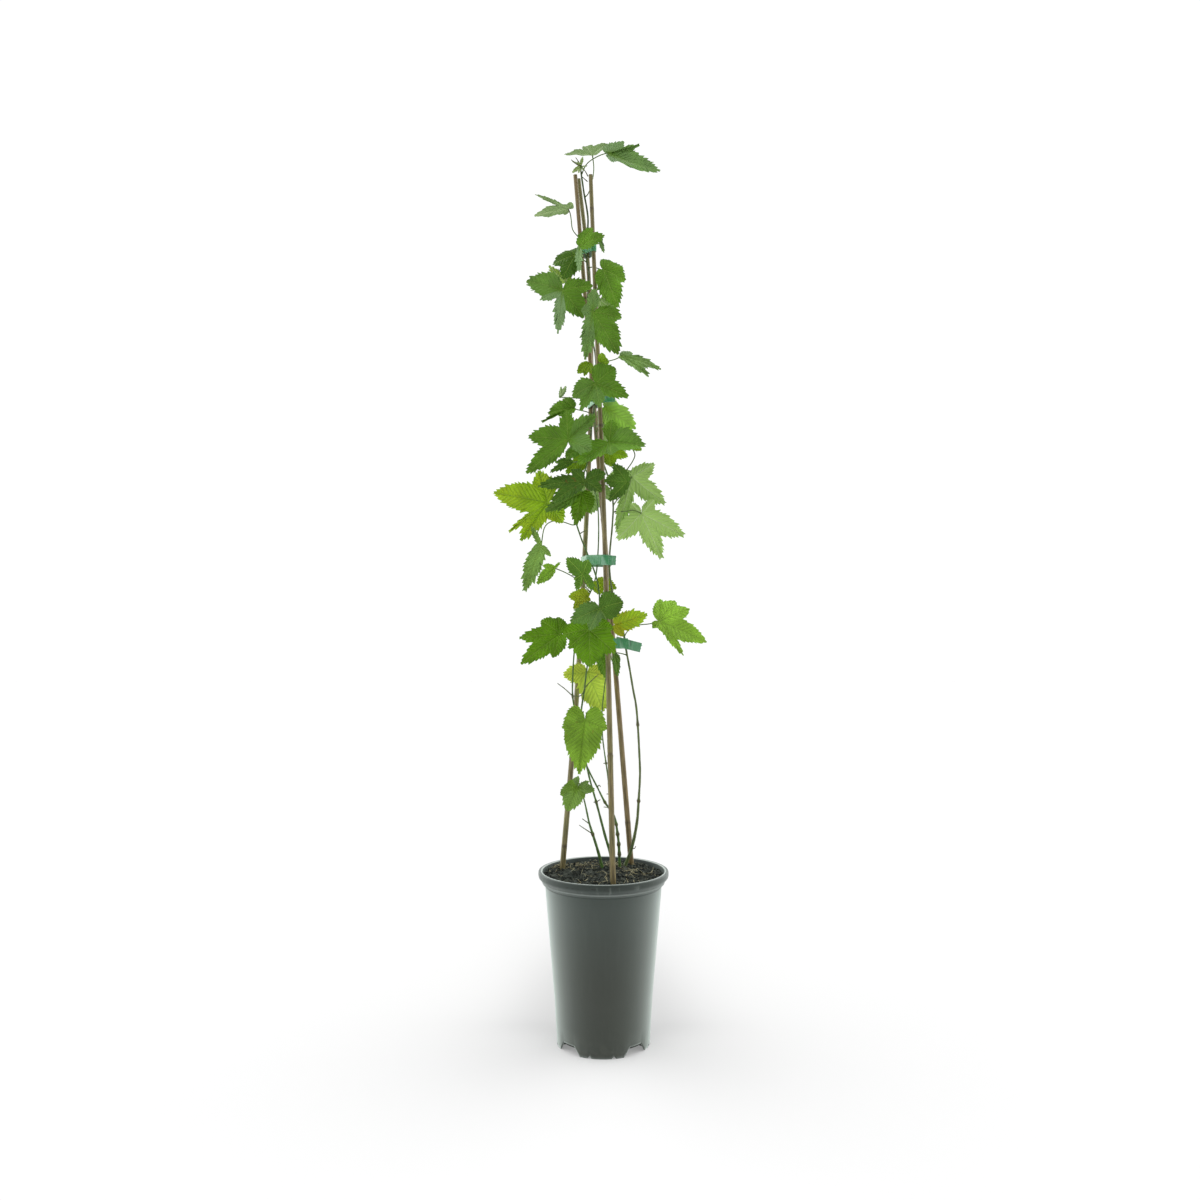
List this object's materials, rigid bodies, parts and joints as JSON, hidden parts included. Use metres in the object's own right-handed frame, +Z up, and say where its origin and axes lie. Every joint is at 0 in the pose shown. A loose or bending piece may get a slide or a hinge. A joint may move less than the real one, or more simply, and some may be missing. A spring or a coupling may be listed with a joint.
{
  "type": "hop bine",
  "caption": "Young hop plant in a tall nursery pot, its twining bines and toothed lobed leaves tied with soft plastic tape up a narrow wigwam of bamboo canes.",
  "frame": {"origin": "on the pot's axis, at the level of its feet", "axes": "+Z up along the pot's axis; the plant's front, as pictured, faces -Y and its right side is +X"},
  "size_m": [0.2407, 0.15, 1.0286],
  "materials": {
    "pot_plastic": "satin",
    "compost": "matte",
    "cane_front_bamboo": "satin",
    "cane_back_bamboo": "satin",
    "cane_left_bamboo": "satin",
    "tape_top_film": "satin",
    "tape_upper_film": "satin",
    "tape_middle_film": "satin",
    "tape_flag_film": "satin",
    "bine_right_skin": "matte",
    "bine_middle_skin": "matte",
    "bine_inner_skin": "matte",
    "bine_short_skin": "matte",
    "bine_side_skin": "matte",
    "bine_lead_skin": "matte",
    "leaf_01_blade": "satin",
    "leaf_02_blade": "satin",
    "shoot_tip_blade": "satin",
    "leaf_03_blade": "satin",
    "leaf_04_blade": "satin",
    "leaf_05_blade": "satin",
    "leaf_06_blade": "satin",
    "leaf_07_blade": "satin",
    "leaf_08_blade": "satin",
    "leaf_09_blade": "satin",
    "leaf_10_blade": "satin",
    "leaf_11_blade": "satin",
    "leaf_12_blade": "satin",
    "leaf_13_blade": "satin",
    "leaf_14_blade": "satin",
    "leaf_15_blade": "satin",
    "leaf_16_blade": "satin",
    "leaf_17_blade": "satin",
    "leaf_18_blade": "satin",
    "leaf_19_blade": "satin",
    "leaf_20_blade": "satin",
    "leaf_21_blade": "satin",
    "leaf_22_blade": "satin",
    "leaf_23_blade": "satin",
    "leaf_24_blade": "satin",
    "leaf_25_blade": "satin",
    "leaf_26_blade": "satin",
    "leaf_27_blade": "satin",
    "leaf_28_blade": "satin",
    "leaf_29_blade": "satin",
    "leaf_30_blade": "satin",
    "leaf_31_blade": "satin",
    "leaf_32_blade": "satin",
    "leaf_33_blade": "satin",
    "leaf_34_blade": "satin",
    "leaf_35_blade": "satin",
    "leaf_36_blade": "satin",
    "leaf_37_blade": "satin",
    "leaf_38_blade": "satin",
    "leaf_39_blade": "satin",
    "leaf_40_blade": "satin",
    "leaf_41_blade": "satin",
    "leaf_42_blade": "satin",
    "leaf_43_blade": "satin",
    "leaf_44_blade": "satin"
  },
  "bodies": {
    "root": {"pot": "pot_plastic", "compost": "compost", "cane_front": "cane_front_bamboo", "cane_back": "cane_back_bamboo", "cane_left": "cane_left_bamboo", "tape_top": "tape_top_film", "tape_upper": "tape_upper_film", "tape_middle": "tape_middle_film", "tape_flag": "tape_flag_film", "bine_right": "bine_right_skin", "bine_middle": "bine_middle_skin", "bine_inner": "bine_inner_skin", "bine_short": "bine_short_skin", "bine_side": "bine_side_skin", "bine_lead": "bine_lead_skin", "leaf_01": "leaf_01_blade", "leaf_02": "leaf_02_blade", "shoot_tip": "shoot_tip_blade", "leaf_03": "leaf_03_blade", "leaf_04": "leaf_04_blade", "leaf_05": "leaf_05_blade", "leaf_06": "leaf_06_blade", "leaf_07": "leaf_07_blade", "leaf_08": "leaf_08_blade", "leaf_09": "leaf_09_blade", "leaf_10": "leaf_10_blade", "leaf_11": "leaf_11_blade", "leaf_12": "leaf_12_blade", "leaf_13": "leaf_13_blade", "leaf_14": "leaf_14_blade", "leaf_15": "leaf_15_blade", "leaf_16": "leaf_16_blade", "leaf_17": "leaf_17_blade", "leaf_18": "leaf_18_blade", "leaf_19": "leaf_19_blade", "leaf_20": "leaf_20_blade", "leaf_21": "leaf_21_blade", "leaf_22": "leaf_22_blade", "leaf_23": "leaf_23_blade", "leaf_24": "leaf_24_blade", "leaf_25": "leaf_25_blade", "leaf_26": "leaf_26_blade", "leaf_27": "leaf_27_blade", "leaf_28": "leaf_28_blade", "leaf_29": "leaf_29_blade", "leaf_30": "leaf_30_blade", "leaf_31": "leaf_31_blade", "leaf_32": "leaf_32_blade", "leaf_33": "leaf_33_blade", "leaf_34": "leaf_34_blade", "leaf_35": "leaf_35_blade", "leaf_36": "leaf_36_blade", "leaf_37": "leaf_37_blade", "leaf_38": "leaf_38_blade", "leaf_39": "leaf_39_blade", "leaf_40": "leaf_40_blade", "leaf_41": "leaf_41_blade", "leaf_42": "leaf_42_blade", "leaf_43": "leaf_43_blade", "leaf_44": "leaf_44_blade"}
  },
  "joints": []
}
